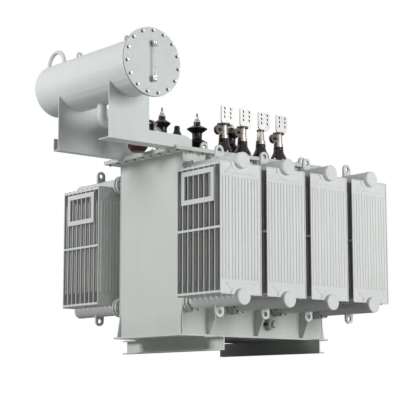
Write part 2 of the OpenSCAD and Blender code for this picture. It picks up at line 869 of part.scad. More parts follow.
// Porcelain with a foot, sharp-rimmed sheds and a narrow neck
module hv_insulator(index) {
    body = hv_body_d / 2;
    neck = hv_neck_d / 2;
    shed = (index == 1 ? hv_left_shed_d : hv_shed_d) / 2;
    foot = hv_foot_d / 2;
    color(porcelain) translate([hv_xs[index - 1], hv_y, top_z]) rotate_extrude() {
        square([body, hv_shed_top]);
        square([neck, hv_h]);
        polygon([[0, 0], [foot, 0], [foot, hv_foot_h / 2], [body, hv_foot_h], [0, hv_foot_h]]);
        for (i = [0 : hv_sheds - 1]) {
            z = hv_shed_top - i * hv_shed_pitch;
            top = i == 0 ? neck : body;
            polygon([
                [0, z - hv_shed_under], [body, z - hv_shed_under], [shed, z - hv_shed_lip / 2],
                [shed, z + hv_shed_lip / 2], [top, z + hv_shed_rise], [0, z + hv_shed_rise]
            ]);
        }
    }
}

// Coned metal caps with their nuts and terminal studs
module hv_terminals() {
    color(bare_metal) for (x = hv_xs) translate([x, hv_y, top_z + hv_h]) {
        cylinder(d1 = hv_neck_d, d2 = hv_cap_top_d, h = hv_cap_h);
        translate([0, 0, hv_cap_h]) cylinder(d = hv_nut_d, h = hv_nut_h);
        translate([0, 0, hv_cap_h + hv_nut_h]) cylinder(d = hv_stud_d, h = hv_stud_l);
    }
}

// Short porcelain with a flared foot
module lv_insulator(index) {
    color(porcelain) translate([lv_xs[index - 1], -lv_y, top_z]) rotate_extrude() polygon([
        [0, 0], [lv_foot_d / 2, 0], [lv_foot_d / 2, lv_foot_h], [lv_neck_d / 2, lv_foot_h + lv_flare_h],
        [lv_neck_d / 2, lv_h], [0, lv_h]
    ]);
}

// Palm outline with chamfered lower corners and six bolt holes, standing on z = 0
module palm_outline() {
    half = palm_w / 2;
    difference() {
        polygon([
            [palm_chamfer - half, 0], [half - palm_chamfer, 0], [half, palm_chamfer],
            [half, palm_h], [-half, palm_h], [-half, palm_chamfer]
        ]);
        for (x = [-palm_hole_x / 2, palm_hole_x / 2], row = [0 : 2])
            translate([x, palm_h - palm_hole_top - row * palm_hole_z]) circle(d = palm_hole_d);
    }
}

// Collar, clamp with a round seat, and flat palm; the neutral's clamp is a plain cone
module lv_terminal(index) {
    is_neutral = index - 1 == neutral;
    top_d = is_neutral ? neutral_top_d : clamp_d;
    color(bare_metal) translate([lv_xs[index - 1], -lv_y, 0]) {
        translate([0, 0, clamp_z - lv_collar_h]) cylinder(d = lv_collar_d, h = lv_collar_h);
        translate([0, 0, clamp_z]) cylinder(d1 = clamp_d, d2 = top_d, h = clamp_h);
        if (!is_neutral) translate([-(clamp_d + ear_reach) / 2, -ear_t / 2, clamp_z + clamp_h / 2]) {
            along_y(ear_t) circle(d = ear_d);
            translate([0, 0, -ear_t / 2]) cube([ear_reach, ear_t, ear_t]);
        }
        translate([0, 0, seat_z]) cylinder(d = seat_d, h = seat_t);
        translate([palm_shift, -palm_t / 2, palm_z]) along_y(palm_t) palm_outline();
    }
}

// Column of the tap changer under a flared skirt and a domed head
module tap_changer() {
    head = tap_head_d / 2;
    flare_z = tap_h - tap_head_h - tap_flare_h;
    color(black) translate([-tap_x, tap_y, top_z]) {
        rotate_extrude() polygon([
            [0, 0], [tap_foot_d / 2, 0], [tap_foot_d / 2, tap_foot_h], [tap_column_d / 2, tap_foot_h],
            [tap_column_d / 2, flare_z], [tap_skirt_d / 2, flare_z], [head, flare_z + tap_flare_h],
            [head, tap_h - head], [0, tap_h - head]
        ]);
        translate([0, 0, tap_h - head]) rotate_extrude() intersection() {
            circle(d = tap_head_d);
            square(tap_head_d);
        }
    }
}

// Four lifting eyes standing on the cover
module cover_eyes() {
    color(pale) for (s = [-1, 1], side = [-1, 1])
        translate([s * cover_eye_span / 2, side * (rim_y - cover_eye_inset) - cover_eye_t / 2, top_z])
            translate([0, 0, cover_eye_rise]) along_y(cover_eye_t)
                lug_outline(cover_eye_w, cover_eye_hole, cover_eye_rise);
}

// Drain valve low on the near wall: stub, flange pair and blank end
module drain_valve() {
    flange_end = (drain_l + drain_flange_t) / 2;
    color(paint) translate([drain_x, -wall_y, drain_z]) rotate([90, 0, 0]) rotate_extrude() polygon([
        [0, 0], [drain_d / 2, 0], [drain_d / 2, flange_end - drain_flange_t],
        [drain_flange_d / 2, flange_end - drain_flange_t], [drain_flange_d / 2, flange_end],
        [drain_boss_d / 2, flange_end], [drain_boss_d / 2, drain_l], [0, drain_l]
    ]);
}

skid_left();
skid_right();
base_plate();
near_wall();
far_wall();
left_wall();
right_wall();
near_ribs();
far_ribs();
tank_cover();
radiator_near(1);  // radiator_near_1
radiator_near(2);  // radiator_near_2
radiator_near(3);  // radiator_near_3
radiator_near(4);  // radiator_near_4
radiator(1);  // radiator_far_1
radiator(2);  // radiator_far_2
radiator(3);  // radiator_far_3
radiator(4);  // radiator_far_4
near_valves();
far_valves();
frame_rails();
frame_posts();
near_bracket();
far_bracket();
conservator_shell();
conservator_cover();
conservator_end();
oil_gauge();
breather_pipe();
conservator_eyes();
oil_pipe();
gas_relay();
relay_elbow();
hv_insulator(1);  // hv_insulator_1
hv_insulator(2);  // hv_insulator_2
hv_insulator(3);  // hv_insulator_3
hv_terminals();
lv_insulator(1);  // lv_insulator_1
lv_insulator(2);  // lv_insulator_2
lv_insulator(3);  // lv_insulator_3
lv_insulator(4);  // lv_insulator_4
lv_terminal(1);  // lv_terminal_1
lv_terminal(2);  // lv_terminal_2
lv_terminal(3);  // lv_terminal_3
lv_terminal(4);  // lv_terminal_4
tap_changer();
cover_eyes();
drain_valve();
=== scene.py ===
import json
from math import cos, pi, radians, sin

import bmesh
import bpy
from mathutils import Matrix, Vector


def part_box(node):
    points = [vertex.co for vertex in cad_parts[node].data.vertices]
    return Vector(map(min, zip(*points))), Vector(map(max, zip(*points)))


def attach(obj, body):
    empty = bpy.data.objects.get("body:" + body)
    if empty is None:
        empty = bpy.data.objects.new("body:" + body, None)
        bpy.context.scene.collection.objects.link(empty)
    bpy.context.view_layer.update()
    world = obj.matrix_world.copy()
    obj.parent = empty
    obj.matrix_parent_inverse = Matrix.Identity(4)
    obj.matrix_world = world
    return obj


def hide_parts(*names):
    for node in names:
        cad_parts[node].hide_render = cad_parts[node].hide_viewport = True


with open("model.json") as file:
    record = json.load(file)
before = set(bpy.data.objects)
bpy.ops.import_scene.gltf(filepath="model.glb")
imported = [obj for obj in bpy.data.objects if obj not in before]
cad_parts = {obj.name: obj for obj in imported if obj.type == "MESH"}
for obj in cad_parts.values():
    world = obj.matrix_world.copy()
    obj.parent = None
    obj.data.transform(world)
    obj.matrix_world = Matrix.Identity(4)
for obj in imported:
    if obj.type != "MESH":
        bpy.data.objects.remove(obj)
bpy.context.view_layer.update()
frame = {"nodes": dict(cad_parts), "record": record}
cadNodes = frame["nodes"]
scene = bpy.context.scene
scene.view_settings.view_transform = "Standard"
up, down = Vector((0, 0, 1)), Vector((0, 0, -1))
left, right = Vector((-1, 0, 0)), Vector((1, 0, 0))
near, far = Vector((0, -1, 0)), Vector((0, 1, 0))
print("frame loaded:", len(cadNodes), "nodes")


# small helpers for node trees

def addNode(tree, kind, inputs=None, **settings):
    node = tree.nodes.new(kind)
    for key, value in settings.items():
        setattr(node, key, value)
    for key, value in (inputs or {}).items():
        if isinstance(value, bpy.types.NodeSocket):
            tree.links.new(value, node.inputs[key])
        else:
            node.inputs[key].default_value = value
    return node


def newGroup(name, kind, inputs, outputs):
    tree = bpy.data.node_groups.new(name, kind)
    for label, socketKind in inputs:
        tree.interface.new_socket(name=label, in_out="INPUT", socket_type=socketKind)
    for label, socketKind in outputs:
        tree.interface.new_socket(name=label, in_out="OUTPUT", socket_type=socketKind)
    return tree, tree.nodes.new("NodeGroupInput"), tree.nodes.new("NodeGroupOutput")


def spread(tree, value, low, high, fromLow=0.3, fromHigh=0.7):
    inputs = {"Value": value, "From Min": fromLow, "From Max": fromHigh, "To Min": low, "To Max": high}
    return addNode(tree, "ShaderNodeMapRange", inputs).outputs["Result"]


def scaled(tree, vector, factor):
    node = addNode(tree, "ShaderNodeVectorMath", {0: vector, "Scale": factor}, operation="SCALE")
    return node.outputs["Vector"]


def maths(tree, operation, first, second):
    return addNode(tree, "ShaderNodeMath", {0: first, 1: second}, operation=operation).outputs[0]


# shader groups that several finishes share

def makePaintFilm():
    tree, given, out = newGroup(
        "paintFilm", "ShaderNodeTree",
        [("Paint", "NodeSocketColor"), ("Mottle", "NodeSocketFloat"), ("Streaks", "NodeSocketFloat"),
         ("Gloss", "NodeSocketFloat"), ("Peel Scale", "NodeSocketFloat"), ("Gap Shade", "NodeSocketFloat")],
        [("Color", "NodeSocketColor"), ("Roughness", "NodeSocketFloat"), ("Height", "NodeSocketFloat")])
    place = addNode(tree, "ShaderNodeTexCoord").outputs["Object"]
    broad = addNode(tree, "ShaderNodeTexNoise", {"Vector": place, "Scale": 2.3, "Detail": 4.0})
    fine = addNode(tree, "ShaderNodeTexNoise", {"Vector": place, "Scale": 46.0, "Detail": 3.0})
    runs = addNode(tree, "ShaderNodeMapping", {"Vector": place, "Scale": (34.0, 34.0, 1.1)})
    streak = addNode(tree, "ShaderNodeTexNoise", {"Vector": runs.outputs[0], "Scale": 1.0, "Detail": 2.0})
    peel = addNode(tree, "ShaderNodeTexNoise",
                   {"Vector": place, "Scale": given.outputs["Peel Scale"], "Detail": 1.0})
    tone = maths(tree, "MULTIPLY", spread(tree, broad.outputs[0], -1, 1), given.outputs["Mottle"])
    grain = maths(tree, "MULTIPLY", spread(tree, fine.outputs[0], -0.4, 0.4), given.outputs["Mottle"])
    washed = spread(tree, streak.outputs[0], 0, -1, 0.52, 0.72)
    wash = maths(tree, "MULTIPLY", washed, given.outputs["Streaks"])
    total = maths(tree, "ADD", maths(tree, "ADD", tone, grain), maths(tree, "ADD", wash, 1.0))
    # painted shade: the paint is darkened where neighbouring plates stand close, measured by ambient occlusion
    openness = addNode(tree, "ShaderNodeAmbientOcclusion", {"Distance": 0.12}, samples=8, only_local=True)
    shadeShare = spread(tree, openness.outputs["AO"], 1, 0, 0.12, 0.5)
    dustAndShade = maths(tree, "MULTIPLY", shadeShare, given.outputs["Gap Shade"])
    total = maths(tree, "MULTIPLY", total, maths(tree, "SUBTRACT", 1.0, dustAndShade))
    tree.links.new(scaled(tree, given.outputs["Paint"], total), out.inputs["Color"])
    gloss = maths(tree, "ADD", given.outputs["Gloss"], spread(tree, fine.outputs[0], -0.06, 0.08))
    tree.links.new(gloss, out.inputs["Roughness"])
    tree.links.new(peel.outputs[0], out.inputs["Height"])
    return tree


def makeMetalGrain():
    tree, given, out = newGroup(
        "metalGrain", "ShaderNodeTree",
        [("Metal", "NodeSocketColor"), ("Tarnish", "NodeSocketFloat"), ("Stretch", "NodeSocketVector"),
         ("Gloss", "NodeSocketFloat")],
        [("Color", "NodeSocketColor"), ("Roughness", "NodeSocketFloat"), ("Height", "NodeSocketFloat")])
    place = addNode(tree, "ShaderNodeTexCoord").outputs["Object"]
    drawn = addNode(tree, "ShaderNodeMapping", {"Vector": place, "Scale": given.outputs["Stretch"]})
    lines = addNode(tree, "ShaderNodeTexNoise", {"Vector": drawn.outputs[0], "Scale": 1.0, "Detail": 3.0})
    patch = addNode(tree, "ShaderNodeTexNoise", {"Vector": place, "Scale": 24.0, "Detail": 4.0})
    dull = maths(tree, "MULTIPLY", spread(tree, patch.outputs[0], 0, -1), given.outputs["Tarnish"])
    tone = maths(tree, "ADD", dull, spread(tree, lines.outputs[0], 0.94, 1.04))
    tree.links.new(scaled(tree, given.outputs["Metal"], tone), out.inputs["Color"])
    gloss = maths(tree, "ADD", given.outputs["Gloss"], spread(tree, patch.outputs[0], -0.06, 0.12))
    tree.links.new(gloss, out.inputs["Roughness"])
    tree.links.new(lines.outputs[0], out.inputs["Height"])
    return tree


def makeGlazeFilm():
    tree, given, out = newGroup(
        "glazeFilm", "ShaderNodeTree",
        [("Glaze", "NodeSocketColor"), ("Pooled Glaze", "NodeSocketColor"), ("Gloss", "NodeSocketFloat")],
        [("Color", "NodeSocketColor"), ("Roughness", "NodeSocketFloat"), ("Height", "NodeSocketFloat")])
    place = addNode(tree, "ShaderNodeTexCoord").outputs["Object"]
    flow = addNode(tree, "ShaderNodeMapping", {"Vector": place, "Scale": (38.0, 38.0, 12.0)})
    pool = addNode(tree, "ShaderNodeTexNoise", {"Vector": flow.outputs[0], "Scale": 1.0, "Detail": 4.0})
    dustAndShade = addNode(tree, "ShaderNodeTexNoise", {"Vector": place, "Scale": 150.0, "Detail": 2.0})
    share = spread(tree, pool.outputs[0], 0, 1)
    # the colour sockets of a mix node are 6 and 7
    mixed = addNode(tree, "ShaderNodeMix", data_type="RGBA")
    for key, source in ((0, share), (6, given.outputs["Glaze"]), (7, given.outputs["Pooled Glaze"])):
        tree.links.new(source, mixed.inputs[key])
    tree.links.new(mixed.outputs[2], out.inputs["Color"])
    tree.links.new(maths(tree, "ADD", given.outputs["Gloss"], spread(tree, dustAndShade.outputs[0], -0.02, 0.08)),
                   out.inputs["Roughness"])
    tree.links.new(pool.outputs[0], out.inputs["Height"])
    return tree


paintFilm, metalGrain, glazeFilm = makePaintFilm(), makeMetalGrain(), makeGlazeFilm()


def makeFinish(name, group, values, bump, metallic=0.0, coat=0.0, sheen=0.5, alpha=1.0, boltShade=None):
    finish = bpy.data.materials.new(name)
    finish.use_nodes = True
    tree = finish.node_tree
    shader = tree.nodes["Principled BSDF"]
    film = addNode(tree, "ShaderNodeGroup", node_tree=group)
    for key, value in values.items():
        film.inputs[key].default_value = value
    strength, depth = bump
    relief = addNode(tree, "ShaderNodeBump",
                     {"Strength": strength, "Distance": depth, "Height": film.outputs["Height"]})
    colour = film.outputs["Color"]
    # painted shade: the stored share mixes the colour towards the given dark colour on the bolts' washers and
    # head sides
    if boltShade:
        share = addNode(tree, "ShaderNodeAttribute", attribute_name="boltShade").outputs["Fac"]
        shadedMix = addNode(tree, "ShaderNodeMix", {0: share, 6: colour, 7: (*boltShade, 1)}, data_type="RGBA")
        colour = shadedMix.outputs[2]
    tree.links.new(colour, shader.inputs["Base Color"])
    tree.links.new(film.outputs["Roughness"], shader.inputs["Roughness"])
    tree.links.new(relief.outputs["Normal"], shader.inputs["Normal"])
    shader.inputs["Metallic"].default_value = metallic
    shader.inputs["Coat Weight"].default_value = coat
    shader.inputs["Specular IOR Level"].default_value = sheen
    shader.inputs["Alpha"].default_value = alpha
    return finish


def paintFinish(name, colour, mottle=0.03, streaks=0.04, gloss=0.42, sheen=0.22, dirt=0.0):
    values = {"Paint": (*colour, 1), "Mottle": mottle, "Streaks": streaks, "Gloss": gloss,
              "Peel Scale": 260.0, "Gap Shade": dirt}
    return makeFinish(name, paintFilm, values, (0.25, 0.0006), sheen=sheen)


def metalFinish(name, colour, tarnish, gloss, stretch, boltShade=None):
    values = {"Metal": (*colour, 1), "Tarnish": tarnish, "Gloss": gloss, "Stretch": stretch}
    return makeFinish(name, metalGrain, values, (0.12, 0.0004), metallic=1.0, boltShade=boltShade)


def glazeFinish(name, colour, pooled, gloss, alpha=1.0):
    values = {"Glaze": (*colour, 1), "Pooled Glaze": (*pooled, 1), "Gloss": gloss}
    return makeFinish(name, glazeFilm, values, (0.10, 0.0005), coat=0.05, sheen=0.28, alpha=alpha)


finishes = {
    "tank": paintFinish("tankPaint", (0.605, 0.635, 0.612), streaks=0.02),
    # the radiators' paint takes painted shade in the gaps between their plates
    "radiator": paintFinish("radiatorPaint", (0.64, 0.657, 0.644), mottle=0.025, streaks=0.03, gloss=0.36,
                            dirt=0.4),
    "conservator": paintFinish("conservatorPaint", (0.645, 0.68, 0.665), streaks=0.03, gloss=0.40,
                               sheen=0.14),
    "relay": paintFinish("relayEnamel", (0.055, 0.018, 0.016), mottle=0.12, streaks=0.0, gloss=0.30),
    "black": paintFinish("blackMoulding", (0.012, 0.012, 0.013), mottle=0.15, streaks=0.0, gloss=0.34),
    "porcelain": glazeFinish("brownPorcelain", (0.018, 0.011, 0.009), (0.008, 0.005, 0.004), 0.10),
    "terminal": metalFinish("tinnedPalm", (0.52, 0.515, 0.505), 0.05, 0.36, (300.0, 300.0, 14.0)),
    "clamp": metalFinish("castClamp", (0.40, 0.375, 0.34), 0.22, 0.36, (120.0, 120.0, 120.0)),
    # painted shade: the clamps' ears and seats are painted a dark brown that stands for their shade
    "seat": metalFinish("shadedBrownSeat", (0.10, 0.086, 0.072), 0.25, 0.42, (120.0, 120.0, 120.0)),
    "casting": metalFinish("greyCasting", (0.18, 0.18, 0.175), 0.20, 0.42, (90.0, 90.0, 90.0)),
    # the zinc of the bolts takes a dark painted shade on the washers and the sides of the heads
    "zinc": metalFinish("zincBolts", (0.66, 0.66, 0.65), 0.15, 0.40, (220.0, 220.0, 220.0),
                        boltShade=(0.03, 0.03, 0.028)),
    "gauge": metalFinish("gaugeFittings", (0.55, 0.55, 0.53), 0.10, 0.26, (260.0, 260.0, 30.0)),
    "gaugeGlass": glazeFinish("gaugeGlass", (0.80, 0.82, 0.80), (0.72, 0.74, 0.72), 0.06, alpha=0.3),
    "gasket": paintFinish("gasketRubber", (0.035, 0.037, 0.036), mottle=0.10, streaks=0.0, gloss=0.55),
}

slotFinish = {
    "tank_paint": "tank", "radiator_paint": "radiator", "conservator_paint": "conservator",
    "porcelain": "porcelain", "terminal_metal": "terminal", "relay_paint": "relay",
    "black_cap": "black", "gauge_metal": "gauge",
}
slotOf = {row["node"]: row["material_slot"] for row in frame["record"]["subparts"]}


def dressNodes():
    for name, shown in cadNodes.items():
        shown.data.materials.clear()
        shown.data.materials.append(finishes[slotFinish[slotOf[name]]])


# helpers that make and keep pieces

mm = 0.001
radiators = [name for name in cadNodes if name.startswith("radiator_")]
# heights of the radiators' headers and radius of the relay elbow's flanges
headerHeights, elbowFlange = (294.5, 1094.5), 62


def keepPiece(name, mesh, finishName, slotName, *nodes):
    if finishName:
        mesh.materials.clear()
        mesh.materials.append(finishes[finishName])
    piece = bpy.data.objects.new(name, mesh)
    scene.collection.objects.link(piece)
    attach(piece, "root")
    if nodes:
        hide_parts(*nodes)
    return piece


def bakedMesh(name, mesh, setModifier):
    maker = bpy.data.objects.new(name + "Maker", mesh)
    scene.collection.objects.link(maker)
    setModifier(maker)
    bpy.context.view_layer.update()
    seen = maker.evaluated_get(bpy.context.evaluated_depsgraph_get())
    baked = bpy.data.meshes.new_from_object(seen)
    baked.name = name
    maker.modifiers.clear()
    bpy.data.objects.remove(maker)
    return baked


def shapeMesh(name, shape, smoothAngle=35):
    bmesh.ops.recalc_face_normals(shape, faces=shape.faces)
    mesh = bpy.data.meshes.new(name)
    shape.to_mesh(mesh)
    shape.free()
    for face in mesh.polygons:
        face.use_smooth = True
    mesh.set_sharp_from_angle(angle=radians(smoothAngle))
    return mesh


def roundedPath(points, steps=4):
    # (radius, height, fillet) in mm, each corner rounded by its fillet, which takes less than half of a side
    path, most = [], 0.48
    for index, (radius, height, fillet) in enumerate(points):
        here = Vector((radius, height))
        if fillet == 0:
            path.append(here)
            continue
        back = Vector(points[index - 1][:2]) - here
        ahead = Vector(points[index + 1][:2]) - here
        start = here + back.normalized() * min(fillet, back.length * most)
        end = here + ahead.normalized() * min(fillet, ahead.length * most)
        for step in range(steps + 1):
            share = step / steps
            path.append(start.lerp(here, share).lerp(here.lerp(end, share), share))
    return path


def turn(shape, points, base, axis=up, sides=48):
    # a closed turned form about the axis through base
    aim = up.rotation_difference(axis).to_matrix()
    rings = []
    for radius, height in roundedPath(points):
        spots = [Vector((0, 0, height))]
        if radius > 0:
            angles = [2 * pi * k / sides for k in range(sides)]
            spots = [Vector((radius * cos(a), radius * sin(a), height)) for a in angles]
        rings.append([shape.verts.new(base + aim @ (spot * mm)) for spot in spots])
    for low, high in zip(rings, rings[1:]):
        for k in range(max(len(low), len(high))):
            after = k + 1
            corners = [low[k % len(low)], low[after % len(low)], high[after % len(high)], high[k % len(high)]]
            shape.faces.new(list(dict.fromkeys(corners)))


def middleOf(node):
    low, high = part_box(node)
    return (low + high) / 2, low, high


# softened copies of the plates and pipes, with the small edge radius of real metal

softEdges = {
    "skid_left": 2.0, "skid_right": 2.0, "base_plate": 1.6, "near_wall": 1.2, "far_wall": 1.2,
    "left_wall": 1.2, "right_wall": 1.2, "near_ribs": 1.2, "far_ribs": 1.2, "tank_cover": 1.8,
    "near_valves": 1.2, "far_valves": 1.2, "frame_rails": 0.8, "frame_posts": 0.8, "near_bracket": 1.4,
    "far_bracket": 1.4, "conservator_shell": 1.5, "conservator_cover": 1.8, "conservator_end": 1.2,
    "breather_pipe": 0.6, "conservator_eyes": 1.2, "oil_pipe": 1.2, "relay_elbow": 1.2, "gas_relay": 2.2,
    "cover_eyes": 1.5, "drain_valve": 1.6, "lv_terminal_1": 1.2, "lv_terminal_2": 1.2,
    "lv_terminal_3": 1.2, "lv_terminal_4": 1.2,
}
# distance in mm at which points are one, angles in degrees under which faces are flat and edges stay sharp
softening = {"merge": 0.02, "flat": 0.5, "sharp": 32, "segments": 2}


def soften(node, width):
    shape = bmesh.new()
    shape.from_mesh(cadNodes[node].data)
    bmesh.ops.remove_doubles(shape, verts=shape.verts, dist=softening["merge"] * mm)
    flat = radians(softening["flat"])
    bmesh.ops.dissolve_limit(shape, angle_limit=flat, verts=shape.verts, edges=shape.edges)
    if node.startswith("lv_terminal"):
        trimSeat(shape, node[-1])
    name = node.title().replace("_", "")
    name = name[0].lower() + name[1:]
    plain = shapeMesh(name, shape)

    def addBevel(maker):
        bevel = maker.modifiers.new("softEdge", "BEVEL")
        bevel.width = width * mm
        bevel.segments = softening["segments"]
        bevel.limit_method = "ANGLE"
        bevel.angle_limit = radians(softening["sharp"])
        bevel.harden_normals = True

    slotName = slotOf[node]
    return keepPiece(name, bakedMesh(name, plain, addBevel), slotFinish[slotName], slotName, node)


# heights above the porcelain, radius of the clamp, half the palm's thickness, rim and lower corner of the palm
# that its holes keep clear of, where they start as a share of the clamp's radius, radius of the seats in the
# CAD and as shown, and how near a point has to lie
lvClamp = {
    "seatFoot": 86, "palmFoot": 98, "radius": 26, "halfPalm": 5.5, "rim": 5, "corner": 20, "holesFrom": 0.6,
    "cadSeat": 50, "seats": {"1": 44, "2": 38, "3": 25, "4": 38},
    "seatSlack": 0.6, "palmSlack": 0.05, "faceSlack": 0.5,
}


def trimSeat(shape, index):
    # each clamp's round seat has its own width, and the palm's foot keeps its sides where it crosses the edge
    middle, low, high = middleOf(f"lv_insulator_{index}")
    seat, slack = lvClamp["seats"][index], lvClamp["seatSlack"]
    for point in shape.verts:
        place = (point.co - Vector((middle.x, middle.y, high.z))) / mm
        onSeat = lvClamp["seatFoot"] - slack < place.z < lvClamp["palmFoot"] + slack
        reach = place.xy.length
        if not onSeat or abs(reach - lvClamp["cadSeat"]) > slack:
            continue
        x, y = place.x * seat / reach, place.y * seat / reach
        if abs(abs(place.y) - lvClamp["halfPalm"]) < lvClamp["palmSlack"] and place.x > 0:
            x, y = (seat ** 2 - place.y ** 2) ** 0.5, place.y
        point.co.x, point.co.y = middle.x + x * mm, middle.y + y * mm


def dullClamp(piece, index):
    # the cast clamp is duller than the tinned palm; painted shade: its ear and its seat under the palm are
    # darker, and the holes' walls nearly black
    for finishName in ("clamp", "seat", "black"):
        piece.data.materials.append(finishes[finishName])
    palmFinish, clampFinish, shadedSeatFinish, holeShadeFinish = range(4)
    middle, low, high = middleOf(f"lv_insulator_{index}")
    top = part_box(f"lv_terminal_{index}")[1]
    slack = lvClamp["faceSlack"]
    seatFoot, palmFoot = (high.z + (lvClamp[key] - slack) * mm for key in ("seatFoot", "palmFoot"))
    rim, corner, radius = (lvClamp[key] * mm for key in ("rim", "corner", "radius"))
    holesFrom = middle.x - radius * lvClamp["holesFrom"]
    for face in piece.data.polygons:
        lowest = min(piece.data.vertices[point].co.z for point in face.vertices)
        onEar = face.center.x < middle.x - radius
        inHole = (abs(face.normal.y) < 0.5 and palmFoot + corner < face.center.z < top.z - rim
                  and holesFrom < face.center.x < top.x - rim)
        if lowest >= palmFoot:
            face.material_index = holeShadeFinish if inHole else palmFinish
        else:
            face.material_index = shadedSeatFinish if onEar or lowest >= seatFoot else clampFinish


# height of the red pot's top above the pipe's axis
relayTop = {"fromAxis": -40}


def greyRelayTop(piece):
    # the relay's red pot has a bare cast top
    piece.data.materials.append(finishes["casting"])
    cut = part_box("relay_elbow")[1].z + (relayTop["fromAxis"] - elbowFlange) * mm
    for face in piece.data.polygons:
        face.material_index = 1 if face.center.z > cut else 0


for nodeName, edgeWidth in softEdges.items():
    softened = soften(nodeName, edgeWidth)
    if nodeName.startswith("lv_terminal"):
        dullClamp(softened, nodeName[-1])
    if nodeName == "gas_relay":
        greyRelayTop(softened)
    if nodeName == "relay_elbow":
        softened.data.materials[0] = finishes["casting"]
print("softened", len(softEdges), "plates and pipes")


# Geometry Nodes tree for bolts and nuts, set on points that carry their axis

# share of the head under its chamfer, share of its width left on top, strength of the painted shade on the
# washer and the head's sides, most twist in radians
boltShape = {"body": 0.78, "crown": 0.84, "washerSides": 14, "studSides": 8, "dirt": 0.85, "twist": 1.05}
# sizes of a bolt as shares of its nominal width
boltShares = {
    "Head Width": 1.15, "Head Height": 0.62, "Washer Width": 1.5, "Washer Height": 0.14, "Stud Width": 0.62,
    "Stud Length": 0.5,
}


def makeBoltTree():
    tree, given, out = newGroup(
        "boltSet", "GeometryNodeTree",
        [("Geometry", "NodeSocketGeometry")] + [(label, "NodeSocketFloat") for label in boltShares]
        + [("Seed", "NodeSocketInt"), ("Metal", "NodeSocketMaterial")],
        [("Geometry", "NodeSocketGeometry")])

    def half(label):
        return maths(tree, "MULTIPLY", given.outputs[label], 0.5)

    def lifted(mesh, height):
        shift = addNode(tree, "ShaderNodeCombineXYZ", {"Z": height}).outputs[0]
        return addNode(tree, "GeometryNodeTransform", {"Geometry": mesh, "Translation": shift}).outputs[0]

    def rod(sides, label, depth):
        sizes = {"Vertices": sides, "Radius": half(label), "Depth": depth}
        return addNode(tree, "GeometryNodeMeshCylinder", sizes)

    headHeight, washerHeight = given.outputs["Head Height"], given.outputs["Washer Height"]
    headBody = maths(tree, "MULTIPLY", headHeight, boltShape["body"])
    hexRod = rod(6, "Head Width", headBody)
    chamfer = maths(tree, "MULTIPLY", headHeight, 1 - boltShape["body"])
    drawn = addNode(tree, "GeometryNodeExtrudeMesh", {
        "Mesh": hexRod.outputs["Mesh"], "Selection": hexRod.outputs["Top"], "Offset Scale": chamfer,
        "Individual": False})
    crowned = addNode(tree, "GeometryNodeScaleElements", {
        "Geometry": drawn.outputs["Mesh"], "Selection": drawn.outputs["Top"], "Scale": boltShape["crown"]})
    headFoot = maths(tree, "ADD", washerHeight, maths(tree, "MULTIPLY", headBody, 0.5))
    headTop = maths(tree, "ADD", washerHeight, headHeight)
    studFoot = maths(tree, "ADD", headTop, half("Stud Length"))
    washer = rod(boltShape["washerSides"], "Washer Width", washerHeight).outputs["Mesh"]
    stud = rod(boltShape["studSides"], "Stud Width", given.outputs["Stud Length"]).outputs["Mesh"]
    parts = [
        lifted(washer, half("Washer Height")),
        lifted(crowned.outputs["Geometry"], headFoot),
        lifted(stud, studFoot),
    ]
    bolt = tree.nodes.new("GeometryNodeJoinGeometry")
    for part in parts:
        tree.links.new(part, bolt.inputs[0])
    # painted shade: the washer and the sides of the head are painted darker, and the head's face stays bright
    place = tree.nodes.new("GeometryNodeInputPosition").outputs[0]
    height = addNode(tree, "ShaderNodeSeparateXYZ", {0: place}).outputs["Z"]
    sideTop = maths(tree, "ADD", washerHeight, headBody)
    dirt = spread(tree, height, boltShape["dirt"], 0.0, sideTop, headTop)
    bolt = addNode(tree, "GeometryNodeStoreNamedAttribute",
                   {"Geometry": bolt.outputs[0], "Name": "boltShade", "Value": dirt},
                   data_type="FLOAT", domain="POINT")
    axis = addNode(tree, "GeometryNodeInputNamedAttribute", {"Name": "axis"}, data_type="FLOAT_VECTOR")
    stand = addNode(tree, "FunctionNodeAlignRotationToVector", {"Vector": axis.outputs[0]}, axis="Z").outputs[0]
    # float sockets of the random value node are 2 and 3, its float output is 1
    chance = addNode(tree, "FunctionNodeRandomValue",
                     {2: 0.0, 3: boltShape["twist"], "Seed": given.outputs["Seed"]}, data_type="FLOAT")
    twist = addNode(tree, "ShaderNodeCombineXYZ", {"Z": chance.outputs[1]}).outputs[0]
    twisted = addNode(tree, "FunctionNodeEulerToRotation", {0: twist}).outputs[0]
    turned = addNode(tree, "FunctionNodeRotateRotation", {0: stand, 1: twisted}, rotation_space="LOCAL")
    placed = addNode(tree, "GeometryNodeInstanceOnPoints", {
        "Points": given.outputs["Geometry"], "Instance": bolt.outputs[0], "Rotation": turned.outputs[0]})
    solid = addNode(tree, "GeometryNodeRealizeInstances", {0: placed.outputs[0]}).outputs[0]
    coated = addNode(tree, "GeometryNodeSetMaterial", {"Geometry": solid, "Material": given.outputs["Metal"]})
    tree.links.new(coated.outputs[0], out.inputs["Geometry"])
    return tree


boltTree = makeBoltTree()


def setTreeInputs(maker, tree, values):
    modifier = maker.modifiers.new(tree.name, "NODES")
    modifier.node_group = tree
    for item in tree.interface.items_tree:
        if item.in_out == "INPUT" and item.name in values:
            modifier[item.identifier] = values[item.name]


def setBolts(name, places, given, slotName, finishName="zinc"):
    points = bpy.data.meshes.new(name + "Points")
    points.from_pydata([spot for spot, axis in places], [], [])
    axes = points.attributes.new("axis", "FLOAT_VECTOR", "POINT")
    axes.data.foreach_set("vector", [value for spot, axis in places for value in axis])
    values = {label: given["width"] * share * mm for label, share in boltShares.items()}
    values |= {"Seed": given["seed"], "Metal": finishes[finishName]}
    mesh = bakedMesh(name, points, lambda maker: setTreeInputs(maker, boltTree, values))
    keepPiece(name, mesh, None, slotName)


